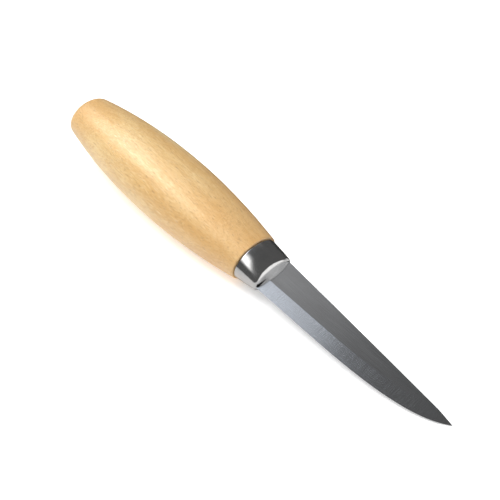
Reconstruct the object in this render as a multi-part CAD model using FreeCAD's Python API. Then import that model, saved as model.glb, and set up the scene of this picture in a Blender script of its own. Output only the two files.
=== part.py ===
import FreeCAD, Part
import math
import os

# A chip carving knife: a turned, oval birch handle, a drawn steel ferrule on its front spigot, and a
# carbon steel blade whose stick tang is glued into a blind bore in the handle.
#
# Millimetres. The origin is the centre of the ferrule's front face, where the blade comes out. +X runs
# to the tip, +Y from the cutting edge towards the spine, and +Z through the blade's thickness, so the
# knife lies on its side as it would on a bench.

# ---- blade ----
blade_length = 82.0  # ferrule face to tip
heel_height = 16.3  # cutting edge to spine at the ferrule
heel_offset = 0.25  # middle of the heel below the knife's axis
tip_rise = 1.6  # knife's axis up to the tip
spine_crown = 0.15  # how far the spine bows out from a straight line
straight_edge = 26.0  # ferrule face to where the belly begins
belly_reach = 26.0  # how far the belly keeps the straight edge's direction
tip_reach = 12.5  # how far the tip's own direction carries back
tip_angle = 41.5  # edge's slope at the tip, degrees
stock_thickness = 2.5
bevel_width = 5.2  # edge to the line where the bevel meets the flat
edge_land = 0.05  # width left on the whetted edge
spine_chamfer = 0.2

# ---- root and tang ----
root_depth = 2.5  # how far the root reaches inside the ferrule, to the spigot's end
heel_step = 0.5  # the heel's edge stands this much below the root, outside the ferrule
root_relief = 0.05  # the root is this much below the flats, so it enters the slot
tang_length = 76.0
tang_root_width = 7.0
tang_end_width = 5.0
tang_end_chamfer = 1.5

# ---- ferrule ----
ferrule_length = 10.2
ferrule_sheet = 0.65
rim_margin = 0.6  # blade's heel to the ferrule's side, above and below
front_thickness = 10.1  # across the flats of the blade, before the rim is rounded
width_taper = 2.0  # how much wider the rear is than the front
thickness_taper = 4.8
side_bulge = 0.08  # how far the drawn sheet bows out from a straight taper, at the oval's ends
top_bulge = 0.4  # the same on its broad faces
front_radius = 1.6
rear_radius = 0.4
slot_clearance = 0.05

# ---- handle ----
handle_length = 96.2  # shoulder to butt
shoulder_step = 0.65  # wood standing proud of the ferrule all round
shoulder_radius = 0.5
belly_width = 29.1
belly_thickness = 24.9
belly_share = 0.457  # place of the thickest section, as a share of the handle from its shoulder
butt_width = 17.4  # where the sides would meet the end before it is crowned
butt_thickness = 13.6
front_fullness = 1.85  # exponents of the barrel's sides, 2 being a parabola
rear_fullness = 2.15
crown_radius = 50.0
butt_radius = 4.0

# ---- bore for the tang ----
tang_clearance = 0.1  # bore's wall to the tang's corners
bore_spare = 2.0  # bore's depth past the end of the tang
drill_point_angle = 118.0

SIDE_STATIONS = 10  # sections that the barrel is lofted through
PAST = 5.0  # how far a cutting tool runs past what it cuts
OVERLAP = 1.0  # how far the bevel cutter's slope carries on past the bevel, at both sides
CLOSE = 1e-4  # coordinates nearer than this are the same

# ---- worked out from the above ----
front_width = heel_height + 2 * rim_margin
rear_width = front_width + width_taper
rear_thickness = front_thickness + thickness_taper
shoulder_width = rear_width + 2 * shoulder_step
shoulder_thickness = rear_thickness + 2 * shoulder_step
root_thickness = stock_thickness - 2 * root_relief
tang_end = -root_depth - tang_length
bore_radius = math.hypot(tang_root_width, root_thickness) / 2 + tang_clearance
edge_depth = heel_height / 2 + heel_offset
heel_spine = heel_height / 2 - heel_offset
root_bottom = heel_step - edge_depth

X = FreeCAD.Vector(1, 0, 0)
Z = FreeCAD.Vector(0, 0, 1)


def point(x, y, z=0.0):
    return FreeCAD.Vector(x, y, z)


def box(x, y, z):
    """A box from its (low, high) pairs along X, Y and Z."""
    return Part.makeBox(x[1] - x[0], y[1] - y[0], z[1] - z[0], point(x[0], y[0], z[0]))


def oval(x, width, thickness):
    """An elliptical wire across the knife's axis, its long diameter along Y."""
    ellipse = Part.Ellipse(point(x, width / 2), point(x, 0, thickness / 2), point(x, 0))
    return Part.Wire(ellipse.toShape())


def rims(shape, x):
    """The edges of a shape that lie in the plane at x."""
    return [e for e in shape.Edges if abs(e.BoundBox.XMin - x) < CLOSE and e.BoundBox.XLength < CLOSE]


# ---- blade ----
def edge_curve():
    """The belly of the cutting edge: a cubic that leaves the straight edge and rises to the tip."""
    slope = math.radians(tip_angle)
    start = point(straight_edge, -edge_depth)
    tip = point(blade_length, tip_rise)
    belly = Part.BezierCurve()
    belly.setPoles([
        start,
        start + X * belly_reach,
        tip - point(math.cos(slope), math.sin(slope)) * tip_reach,
        tip,
    ])
    return belly.toShape()


def blank():
    """The blade before grinding: its outline, as thick as the stock, with the root that enters the slot."""
    root_top = point(-root_depth, heel_spine)
    root_low = point(-root_depth, root_bottom)
    heel = point(0, -edge_depth)
    spine_start = point(0, heel_spine)
    tip = point(blade_length, tip_rise)
    spine_middle = (spine_start + tip) * 0.5 + point(0, spine_crown)
    outline = Part.Wire([
        Part.makeLine(root_top, root_low),
        Part.makeLine(root_low, point(0, root_bottom)),
        Part.makeLine(point(0, root_bottom), heel),
        Part.makeLine(heel, point(straight_edge, -edge_depth)),
        edge_curve(),
        Part.Arc(tip, spine_middle, spine_start).toShape(),
        Part.makeLine(spine_start, root_top),
    ])
    plate = Part.Face(outline).extrude(Z * stock_thickness)
    plate.translate(Z * (-stock_thickness / 2))
    return plate


def bevel_cutter():
    """The wedge that grinding takes off one side, swept along the edge and on past both its ends."""
    start = point(-root_depth - PAST, -edge_depth)
    slope = math.radians(tip_angle)
    tip = point(blade_length, tip_rise)
    path = Part.Wire([
        Part.makeLine(start, point(straight_edge, -edge_depth)),
        edge_curve(),
        Part.makeLine(tip, tip + point(math.cos(slope), math.sin(slope)) * 2 * PAST),
    ])
    rise = (stock_thickness - edge_land) / 2 / bevel_width
    low = start + point(0, -OVERLAP, edge_land / 2 - OVERLAP * rise)
    high = start + point(0, bevel_width + OVERLAP, stock_thickness / 2 + OVERLAP * rise)
    corner = start + point(0, -OVERLAP, stock_thickness / 2 + OVERLAP * rise)
    sweep = Part.BRepOffsetAPI.MakePipeShell(path)
    sweep.setBiNormalMode(Z)
    sweep.add(Part.makePolygon([low, high, corner, low]))
    sweep.build()
    sweep.makeSolid()
    return sweep.shape()


def mirrored(shape):
    """The same shape on the blade's other side."""
    return shape.mirror(point(0, 0), Z)


def tang():
    """The stick that runs back into the handle, tapering, with a clipped end."""
    front = -root_depth
    outline = [
        point(front, -tang_root_width / 2),
        point(front, tang_root_width / 2),
        point(tang_end + tang_end_chamfer, tang_end_width / 2),
        point(tang_end, tang_end_width / 2 - tang_end_chamfer),
        point(tang_end, tang_end_chamfer - tang_end_width / 2),
        point(tang_end + tang_end_chamfer, -tang_end_width / 2),
    ]
    stick = Part.Face(Part.makePolygon(outline + outline[:1])).extrude(Z * root_thickness)
    stick.translate(Z * (-root_thickness / 2))
    return stick


def is_spine(edge):
    """Whether an edge runs along the spine on the outside of a flat, clear of the root and the bevels."""
    middle = edge.valueAt((edge.FirstParameter + edge.LastParameter) / 2)
    chord_y = heel_spine + (tip_rise - heel_spine) * middle.x / blade_length
    near_spine = abs(middle.y - chord_y) < spine_crown + CLOSE
    on_flat = abs(abs(middle.z) - stock_thickness / 2) < CLOSE
    return near_spine and on_flat and edge.Length > blade_length / 2


def make_blade():
    cutter = bevel_cutter()
    blade = blank().cut(cutter).cut(mirrored(cutter))
    blade = blade.makeChamfer(spine_chamfer, [e for e in blade.Edges if is_spine(e)])
    for side in (1, -1):
        flat = side * root_thickness / 2
        outside = sorted((flat, flat + side * PAST))
        blade = blade.cut(box((-root_depth - PAST, 0), (-2 * edge_depth, 2 * heel_height), outside))
    return blade.fuse(tang())


# ---- ferrule ----
def cone_oval(inset, front):
    """The ferrule's bowed, tapered oval, drawn in by an inset all round and cut off at a front plane."""
    middle_width = (rear_width + front_width) / 2 + 2 * side_bulge
    middle_thickness = (rear_thickness + front_thickness) / 2 + 2 * top_bulge
    body = Part.makeLoft([
        oval(-ferrule_length, rear_width - 2 * inset, rear_thickness - 2 * inset),
        oval(-ferrule_length / 2, middle_width - 2 * inset, middle_thickness - 2 * inset),
        oval(0, front_width - 2 * inset, front_thickness - 2 * inset),
    ], True)
    if front < 0:
        body = body.cut(box((front, PAST), (-front_width, front_width), (-front_width, front_width)))
    return body


def ferrule_core():
    """The space inside the ferrule."""
    core = cone_oval(ferrule_sheet, -ferrule_sheet)
    return core.makeFillet(front_radius - ferrule_sheet, rims(core, -ferrule_sheet))


def make_ferrule():
    shell = cone_oval(0, 0)
    shell = shell.makeFillet(front_radius, rims(shell, 0))
    shell = shell.makeFillet(rear_radius, rims(shell, -ferrule_length))
    half_slot = root_thickness / 2 + slot_clearance
    slot = box(
        (-root_depth, PAST),
        (root_bottom - slot_clearance, heel_spine + slot_clearance),
        (-half_slot, half_slot),
    )
    return shell.cut(ferrule_core()).cut(slot)


# ---- handle ----
def side(share, shoulder, belly, butt):
    """The barrel's width or thickness at a share of its length: full in the middle, drawn in to both ends."""
    if share < belly_share:
        away = (belly_share - share) / belly_share
        return belly - (belly - shoulder) * away**front_fullness
    away = (share - belly_share) / (1 - belly_share)
    return belly - (belly - butt) * away**rear_fullness


def barrel():
    """The turned oval, from its shoulder to a crowned butt."""
    butt_end = -ferrule_length - handle_length
    sections = []
    for i in range(SIDE_STATIONS + 1):
        share = i / SIDE_STATIONS
        sections.append(oval(
            -ferrule_length - share * handle_length,
            side(share, shoulder_width, belly_width, butt_width),
            side(share, shoulder_thickness, belly_thickness, butt_thickness),
        ))
    body = Part.makeLoft(sections, True)
    crown = Part.makeSphere(crown_radius, point(butt_end + crown_radius, 0))
    bar = Part.makeCylinder(crown_radius, handle_length, point(butt_end + crown_radius, 0), X)
    body = body.common(crown.fuse(bar))
    butt_rim = [e for e in body.Edges if e.BoundBox.XMax < butt_end + crown_radius and e.Closed]
    body = body.makeFillet(butt_radius, butt_rim)
    return body.makeFillet(shoulder_radius, rims(body, -ferrule_length))


def bore():
    """The drilled hole for the tang, with the drill's point at its end."""
    depth = tang_length + bore_spare
    mouth = point(-root_depth, 0)
    bottom = mouth - X * depth
    point_length = bore_radius / math.tan(math.radians(drill_point_angle / 2))
    hole = Part.makeCylinder(bore_radius, depth, mouth, -X)
    return hole.fuse(Part.makeCone(bore_radius, 0, point_length, bottom, -X))


def make_handle():
    spigot = ferrule_core().common(box(
        (-ferrule_length - PAST, -root_depth),
        (-rear_width, rear_width),
        (-rear_width, rear_width),
    ))
    return barrel().fuse(spigot).cut(bore())


parts = {
    "handle": make_handle(),
    "ferrule": make_ferrule(),
    "blade": make_blade(),
}
parts["tang_adhesive"] = bore().cut(parts["blade"])

os.makedirs("parts", exist_ok=True)
for name, shape in parts.items():
    shape.exportStep("parts/" + name + ".step")
    size = shape.BoundBox
    print(name, "solids", len(shape.Solids), "valid", shape.isValid(), "volume", round(shape.Volume, 1),
          "x", round(size.XMin, 2), round(size.XMax, 2), "y", round(size.YMin, 2), round(size.YMax, 2),
          "z", round(size.ZMin, 2), round(size.ZMax, 2))
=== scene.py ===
import math

import bpy
from mathutils import Matrix, Vector

# Looks for the chip carving knife. Metres, in the row frame: +X to the tip, +Y from the cutting edge
# towards the spine, +Z through the blade's thickness, origin at the ferrule's front face.

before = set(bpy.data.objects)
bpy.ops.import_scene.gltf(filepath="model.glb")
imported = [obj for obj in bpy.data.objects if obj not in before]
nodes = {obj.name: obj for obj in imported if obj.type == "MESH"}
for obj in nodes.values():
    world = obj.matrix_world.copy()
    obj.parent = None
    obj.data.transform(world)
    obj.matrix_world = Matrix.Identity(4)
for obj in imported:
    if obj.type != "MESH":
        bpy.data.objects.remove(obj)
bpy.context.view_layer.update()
scene = bpy.context.scene
MM = 0.001

# ---- camera ----
camera_azimuth = 43.36
camera_elevation = 50.12
camera_roll = 5.0
camera_distance = 423.64 * MM
camera_aim = (-8.27 * MM, 8.97 * MM)  # how far the middle of the picture is right of and above the origin
camera_sensor = 36  # millimetres
camera_lens = 87.08
camera_reach = (0.01, 20)  # nearest and farthest that it sees

# ---- how the knife lies ----
rest_roll = 0.9  # degrees that the knife leans about its own length

# ---- light ----
room_radiance = 0.143  # what polished steel sees where no light stands
backdrop_radiance = 1.05
floor_half = 3.0  # middle of the floor to its sides
floor_albedo = 0.9
floor_glow = 0.48  # the table is lit through from below, which steel doesn't mirror
flag_radiance = 0.06
flag_height = 0.3 * MM  # above the floor
flag_outline = [  # along the spine from behind the handle to the tip, then back and far out
    (-0.4, 0.03), (-0.1, 0.013), (0.083, 0.0025), (0.088, 0.005),
    (0.0, 0.024), (0.0, 0.06), (0.0, 2.0), (-2.0, 2.0),
]
ceiling = 1.0  # height of the card that carries the panels
ceiling_span = (-2.0, 0.25)  # along X; past its end steel sees the window
panels = [  # (low, high) along X and along Y, the soft edges' widths along both, radiance, tint
    ((-1.7, -0.316), (-0.9, 0.5), (0.065, 0.3), 0.83, (0.92, 0.99, 1.08)),  # mirrored by the bevel
    ((-1.7, -0.3), (0.2, 1.2), (0.25, 0.3), 0.37, (1, 1, 1)),  # by the flat
    ((-1.5, -0.5), (-0.85, 0.35), (0.35, 0.45), 12.0, (0.95, 1, 1.12)),  # by the oiled wood
    ((-0.46, -0.08), (-1.35, -0.04), (0.17, 0.55), 3.8, (1, 1, 1)),  # by the ferrule
]
window_place = (1.0, 0.65, 1.15)
window_width = 2.5
window_height = 2.3
window_radiance = 1.6
window_power = math.pi  # watts that give a square metre of window a radiance of 1
overhead_from = (-0.38, -0.16, 0.9)  # direction towards the broad light over the table
overhead_strength = 3.3
overhead_spread = 44  # degrees

# ---- surfaces ----
wander_stretch = (70, 16, 16)  # millimetres, length of the grain's slow waves along each axis
wander = (0, 2.4 * MM, 2.4 * MM)  # how far they push the grain aside
pith_place = (0, 52 * MM, -34 * MM)  # the growth rings' middle, outside the handle
pith_lean = (0.035, 1, 1)  # how much each axis counts in a ring's radius, so the rings lean a little
ring_width = 2.8 * MM
darker_ends = ((-62 * MM, -12 * MM), (-84 * MM, -108 * MM))  # from none to the most of the darker end colour, along X
fibre_depth = 0.06 * MM
hairline_depth = 0.0008 * MM
ripple_depth = 0.005 * MM
grind_depth = 0.0005 * MM
bubble_depth = 0.06 * MM
flat_normal = (0.985, 0.995)  # the normal's Z: the bevels are below the first, the flats above the second


# ---- camera, floor and light ----
def make_camera():
    azimuth, elevation, roll = (math.radians(a) for a in (camera_azimuth, camera_elevation, camera_roll))
    back = Vector((
        math.sin(azimuth) * math.cos(elevation),
        -math.cos(azimuth) * math.cos(elevation),
        math.sin(elevation),
    ))
    level = Vector((math.cos(azimuth), math.sin(azimuth), 0))
    upright = back.cross(level)
    right = level * math.cos(roll) + upright * math.sin(roll)
    up = back.cross(right)
    place = back * camera_distance + right * camera_aim[0] + up * camera_aim[1]
    camera = bpy.data.objects.new("camera", bpy.data.cameras.new("camera"))
    camera.data.sensor_width = camera_sensor
    camera.data.lens = camera_lens
    camera.data.clip_start, camera.data.clip_end = camera_reach
    camera.matrix_world = Matrix.Translation(place) @ Matrix((right, up, back)).transposed().to_4x4()
    scene.collection.objects.link(camera)
    scene.camera = camera


def resting_plane():
    """A point of the surface that the knife lies on and its normal: it touches the handle and the blade."""
    lean = math.tan(math.radians(rest_roll))
    points = sorted({
        (v.co.x, v.co.z + lean * v.co.y) for node in ("handle", "blade") for v in nodes[node].data.vertices
    })
    hull = []
    for x, z in points:
        while len(hull) > 1:
            (x0, z0), (x1, z1) = hull[-2:]
            if (x1 - x0) * (z - z0) - (z1 - z0) * (x - x0) > 0:
                break
            hull.pop()
        hull.append((x, z))
    (x0, z0), (x1, z1) = max(zip(hull, hull[1:]), key=lambda pair: pair[1][0] - pair[0][0])
    slope = (z1 - z0) / (x1 - x0)
    return Vector((x0, 0, z0)), Vector((-slope, lean, 1)).normalized()


def make_floor():
    """The white table, which the camera sees through from below."""
    point, normal = resting_plane()
    half = floor_half
    corners = [(-half, -half, 0), (half, -half, 0), (half, half, 0), (-half, half, 0)]
    mesh = bpy.data.meshes.new("floor")
    mesh.from_pydata(corners, [], [(0, 1, 2, 3)])
    floor = bpy.data.objects.new("floor", mesh)
    floor.matrix_world = Matrix.Translation(point) @ normal.to_track_quat("Z", "Y").to_matrix().to_4x4()
    scene.collection.objects.link(floor)
    graph = Graph("floor")
    ray = graph.node("ShaderNodeLightPath").outputs
    matt = graph.maths("SUBTRACT", 1.0, ray["Is Glossy Ray"])
    paper = graph.node("ShaderNodeBsdfPrincipled", {
        "Base Color": (floor_albedo, floor_albedo, floor_albedo, 1),
        "Specular IOR Level": 0.0,
        "Roughness": 1.0,
        "Emission Color": (1, 1, 1, 1),
        "Emission Strength": graph.maths("MULTIPLY", matt, floor_glow),
    })
    clear = graph.node("ShaderNodeBsdfTransparent")
    behind = graph.node("ShaderNodeNewGeometry").outputs["Backfacing"]
    share = graph.maths("MULTIPLY", behind, ray["Is Camera Ray"])
    mixed = graph.node("ShaderNodeMixShader", {0: share, 1: paper.outputs[0], 2: clear.outputs[0]})
    graph.finish(mixed.outputs[0])
    mesh.materials.append(graph.material)


def on_floor(x, y, above):
    """The place above the sloping floor at x and y."""
    point, normal = resting_plane()
    return (x, y, point.z - (normal.x * (x - point.x) + normal.y * (y - point.y)) / normal.z + above)


def make_card(name, corners, emission):
    """A flat card for steel to mirror, that neither the camera nor matt surfaces see."""
    mesh = bpy.data.meshes.new(name)
    mesh.from_pydata(corners, [], [tuple(range(len(corners)))])
    card = bpy.data.objects.new(name, mesh)
    scene.collection.objects.link(card)
    card.visible_camera = False
    card.visible_diffuse = False
    card.visible_shadow = False
    graph = Graph(name)
    graph.finish(graph.node("ShaderNodeEmission", {"Color": emission(graph)}).outputs[0])
    mesh.materials.append(graph.material)


def make_flag():
    """A dark card beyond the spine and behind the ferrule, low on the table."""
    grey = (flag_radiance, flag_radiance, flag_radiance, 1)
    make_card("flag", [on_floor(x, y, flag_height) for x, y in flag_outline], lambda graph: grey)


def make_ceiling():
    """One card overhead that carries every soft-edged panel."""

    def emission(graph):
        where = graph.node("ShaderNodeSeparateXYZ", {0: graph.node("ShaderNodeTexCoord").outputs["Object"]})
        light = (room_radiance, room_radiance, room_radiance)
        for x, y, soft, radiance, tint in panels:
            share = radiance
            for axis, (low, high), width in (("X", x, soft[0]), ("Y", y, soft[1])):
                at = where.outputs[axis]
                share = graph.maths("MULTIPLY", graph.spread(at, low, low + width), share)
                share = graph.maths("MULTIPLY", graph.spread(at, high, high - width), share)
            light = graph.vector("ADD", graph.vector("MULTIPLY", share, tint), light)
        return light

    near, far = ceiling_span
    corners = [(near, near, ceiling), (far, near, ceiling), (far, -near, ceiling), (near, -near, ceiling)]
    make_card("ceiling", corners, emission)


def make_world():
    """The room that the knife mirrors, and the white that the camera sees behind it."""
    world = bpy.data.worlds.new("studio")
    world.use_nodes = True
    scene.world = world
    tree = world.node_tree
    tree.nodes.clear()
    mix = tree.nodes.new("ShaderNodeMixShader")
    for socket, radiance in ((1, room_radiance), (2, backdrop_radiance)):
        background = tree.nodes.new("ShaderNodeBackground")
        background.inputs["Color"].default_value = (1, 1, 1, 1)
        background.inputs["Strength"].default_value = radiance
        tree.links.new(background.outputs[0], mix.inputs[socket])
    seen = tree.nodes.new("ShaderNodeLightPath")
    out = tree.nodes.new("ShaderNodeOutputWorld")
    tree.links.new(seen.outputs["Is Camera Ray"], mix.inputs[0])
    tree.links.new(mix.outputs[0], out.inputs[0])
    scene.view_settings.view_transform = "Standard"


def wall(name, middle, width, height, radiance):
    """A bright upright wall for steel to mirror, that faces back along the knife."""
    light = bpy.data.lights.new(name, "AREA")
    light.shape = "RECTANGLE"
    light.size = width
    light.size_y = height
    light.energy = radiance * width * height * window_power
    lamp = bpy.data.objects.new(name, light)
    lamp.rotation_mode = "QUATERNION"
    lamp.rotation_quaternion = Vector((1, 0, 0)).to_track_quat("Z", "Y")
    lamp.location = middle
    lamp.visible_diffuse = False
    scene.collection.objects.link(lamp)


def sky(name, towards, strength, spread):
    """A broad light for matt surfaces, that polished steel doesn't mirror."""
    light = bpy.data.lights.new(name, "SUN")
    light.energy = strength
    light.angle = math.radians(spread)
    lamp = bpy.data.objects.new(name, light)
    lamp.rotation_mode = "QUATERNION"
    lamp.rotation_quaternion = Vector(towards).to_track_quat("Z", "Y")
    lamp.visible_glossy = False
    scene.collection.objects.link(lamp)


def make_lights():
    make_ceiling()
    wall("window", window_place, window_width, window_height, window_radiance)
    sky("overhead", overhead_from, overhead_strength, overhead_spread)


# ---- materials ----
class Graph:
    """A material's nodes, with short ways to add and link them."""

    def __init__(self, name):
        self.material = bpy.data.materials.new(name)
        self.material.use_nodes = True
        self.tree = self.material.node_tree
        self.tree.nodes.clear()

    def node(self, kind, inputs=None, **settings):
        made = self.tree.nodes.new(kind)
        for name, value in settings.items():
            setattr(made, name, value)
        for name, value in (inputs or {}).items():
            if isinstance(value, bpy.types.NodeSocket):
                self.tree.links.new(value, made.inputs[name])
            else:
                made.inputs[name].default_value = value
        return made

    def maths(self, operation, a, b=0.0):
        return self.node("ShaderNodeMath", {0: a, 1: b}, operation=operation).outputs[0]

    def vector(self, operation, a, b=(0, 0, 0), output="Vector"):
        return self.node("ShaderNodeVectorMath", {0: a, 1: b}, operation=operation).outputs[output]

    def place(self, stretch):
        """The surface's place in millimetres, divided by a length along each axis."""
        where = self.node("ShaderNodeTexCoord").outputs["Object"]
        return self.vector("MULTIPLY", where, tuple(1 / (MM * s) for s in stretch))

    def noise(self, vector, detail=2.0, roughness=0.5):
        made = self.node(
            "ShaderNodeTexNoise",
            {"Vector": vector, "Scale": 1.0, "Detail": detail, "Roughness": roughness},
        )
        return made.outputs[0]

    def spread(self, value, low, high, to_low=0.0, to_high=1.0, kind="SMOOTHSTEP"):
        """The value, carried from one range to another and held at its ends."""
        made = self.node(
            "ShaderNodeMapRange",
            {"Value": value, "From Min": low, "From Max": high, "To Min": to_low, "To Max": to_high},
            interpolation_type=kind,
        )
        return made.outputs[0]

    def blend(self, share, a, b):
        """A colour between two, going from the first to the second as the share grows."""
        return self.node("ShaderNodeMix", {0: share, 6: a, 7: b}, data_type="RGBA").outputs[2]

    def bump(self, height, depth, strength=1.0, normal=None):
        """A bump of a height map that runs from 0 to 1, depth metres deep."""
        inputs = {"Height": height, "Distance": depth, "Strength": strength}
        if normal is not None:
            inputs["Normal"] = normal
        return self.node("ShaderNodeBump", inputs).outputs[0]

    def finish(self, surface):
        out = self.node("ShaderNodeOutputMaterial")
        self.tree.links.new(surface, out.inputs["Surface"])


def colour(red, green, blue):
    """A colour from sRGB values up to 255."""
    linear = []
    for part in (red, green, blue):
        share = part / 255
        linear.append(share / 12.92 if share <= 0.04045 else ((share + 0.055) / 1.055) ** 2.4)
    return (*linear, 1)


def oiled_birch():
    graph = Graph("oiled_birch")
    waves = graph.node("ShaderNodeTexNoise", {"Vector": graph.place(wander_stretch), "Detail": 1.0})
    bent = graph.vector("MULTIPLY", waves.outputs["Color"], wander)
    here = graph.vector("ADD", graph.node("ShaderNodeTexCoord").outputs["Object"], bent)

    def grain(along, across, detail=2.0, roughness=0.5):
        """Noise in streaks of that length along the handle and that width across it, in millimetres."""
        scale = tuple(1 / (MM * s) for s in (along, across, across))
        return graph.noise(graph.vector("MULTIPLY", here, scale), detail, roughness)

    from_pith = graph.vector("SUBTRACT", here, pith_place)
    radius = graph.vector("LENGTH", graph.vector("MULTIPLY", from_pith, pith_lean), output="Value")
    ring = graph.maths("FRACT", graph.maths("MULTIPLY", radius, 1 / ring_width))
    late_wood = graph.spread(ring, 0.5, 0.95, 0.0, 0.22)

    fibres = grain(3.6, 0.22, 3.0, 0.6)
    streaks = grain(15, 1.2)
    clouds = grain(34, 9, 1.0)
    speckle = grain(0.9, 0.5, 2.0, 0.6)
    pores = graph.spread(grain(1.9, 0.2, 1.0), 0.6, 0.72, 0.0, 0.6)

    pale, honey = colour(236, 204, 144), colour(226, 184, 116)
    late, streak, end_tone = colour(204, 152, 86), colour(212, 166, 98), colour(210, 156, 88)
    dark_fibre, light_fibre = colour(200, 150, 84), colour(250, 232, 186)
    fleck, pore = colour(206, 150, 92), colour(158, 106, 58)
    base = graph.blend(graph.spread(clouds, 0.35, 0.65), pale, honey)
    base = graph.blend(late_wood, base, late)
    base = graph.blend(graph.spread(streaks, 0.42, 0.7, 0.0, 0.3), base, streak)
    base = graph.blend(graph.spread(fibres, 0.48, 0.7, 0.0, 0.5), base, dark_fibre)
    base = graph.blend(graph.spread(fibres, 0.5, 0.3, 0.0, 0.5), base, light_fibre)
    base = graph.blend(graph.spread(speckle, 0.5, 0.7, 0.0, 0.15), base, fleck)
    along = graph.node("ShaderNodeSeparateXYZ", {0: here}).outputs["X"]
    for start, end in darker_ends:  # the handle is darker and more orange towards both ends
        base = graph.blend(graph.spread(along, start, end, 0.0, 0.5), base, end_tone)
    base = graph.blend(pores, base, pore)

    gloss = graph.spread(fibres, 0.3, 0.7, 0.44, 0.6, "LINEAR")
    height = graph.maths("SUBTRACT", fibres, pores)
    shader = graph.node("ShaderNodeBsdfPrincipled", {
        "Base Color": base,
        "Roughness": gloss,
        "Normal": graph.bump(height, fibre_depth),
        "IOR": 1.6,
        "Specular IOR Level": 0.5,
        "Coat Weight": 0.7,
        "Coat Roughness": 0.36,
    })
    graph.finish(shader.outputs[0])
    return graph.material


def polished_steel():
    graph = Graph("polished_steel")
    smears = graph.noise(graph.place((5, 5, 5)), detail=3.0, roughness=0.6)
    hairlines = graph.noise(graph.place((2.6, 0.05, 0.05)))
    cross = graph.noise(graph.place((0.06, 1.8, 1.8)))
    ripple = graph.noise(graph.place((3.5, 2.5, 2.5)), detail=1.0)
    clean, smeared = (0.5, 0.495, 0.49, 1), (0.44, 0.437, 0.433, 1)
    tone = graph.blend(graph.spread(smears, 0.35, 0.7), clean, smeared)
    gloss = graph.spread(smears, 0.3, 0.75, 0.12, 0.2, "LINEAR")
    scratched = graph.maths("ADD", graph.spread(hairlines, 0.6, 0.8), graph.spread(cross, 0.66, 0.82))
    normal = graph.bump(scratched, hairline_depth, 0.6)
    normal = graph.bump(ripple, ripple_depth, normal=normal)
    shader = graph.node("ShaderNodeBsdfPrincipled", {
        "Base Color": tone,
        "Metallic": 1.0,
        "Roughness": gloss,
        "Normal": normal,
    })
    graph.finish(shader.outputs[0])
    return graph.material


def ground_steel():
    graph = Graph("ground_steel")
    facing = graph.node("ShaderNodeNewGeometry").outputs["Normal"]
    up = graph.maths("ABSOLUTE", graph.node("ShaderNodeSeparateXYZ", {0: facing}).outputs["Z"])
    flat = graph.spread(up, *flat_normal, kind="LINEAR")
    along = graph.noise(graph.place((14, 0.09, 0.09)))  # the flats are ground lengthwise
    across = graph.noise(graph.place((0.09, 7, 7)))  # and the bevels towards the edge
    lines = graph.node("ShaderNodeMix", {0: flat, 2: across, 3: along}, data_type="FLOAT").outputs[0]
    clouds = graph.noise(graph.place((14, 6, 6)))
    dark, light, clouded = (0.44, 0.445, 0.455, 1), (0.53, 0.535, 0.545, 1), (0.43, 0.43, 0.435, 1)
    tone = graph.blend(graph.spread(lines, 0.3, 0.7), dark, light)
    tone = graph.blend(graph.spread(clouds, 0.4, 0.7, 0.0, 0.4), tone, clouded)
    gloss = graph.spread(lines, 0.25, 0.75, 0.14, 0.21, "LINEAR")
    shader = graph.node("ShaderNodeBsdfPrincipled", {
        "Base Color": tone,
        "Metallic": 1.0,
        "Roughness": gloss,
        "Normal": graph.bump(lines, grind_depth),
    })
    graph.finish(shader.outputs[0])
    return graph.material


def cured_resin():
    graph = Graph("cured_resin")
    clouds = graph.noise(graph.place((4, 2, 2)), detail=3.0)
    bubbles = graph.node(
        "ShaderNodeTexVoronoi", {"Vector": graph.place((0.9, 0.9, 0.9)), "Scale": 1.0}
    ).outputs["Distance"]
    amber, brown = colour(196, 160, 98), colour(150, 112, 58)
    tone = graph.blend(graph.spread(clouds, 0.3, 0.7), amber, brown)
    gloss = graph.spread(clouds, 0.3, 0.7, 0.25, 0.45, "LINEAR")
    shader = graph.node("ShaderNodeBsdfPrincipled", {
        "Base Color": tone,
        "Roughness": gloss,
        "Normal": graph.bump(graph.spread(bubbles, 0.0, 0.3), bubble_depth),
    })
    graph.finish(shader.outputs[0])
    return graph.material


def dress(node, material):
    """Gives a CAD node its material."""
    for slot in nodes[node].material_slots:
        slot.material = material


make_camera()
make_floor()
make_flag()
make_world()
make_lights()
dress("handle", oiled_birch())
dress("ferrule", polished_steel())
dress("blade", ground_steel())
dress("tang_adhesive", cured_resin())
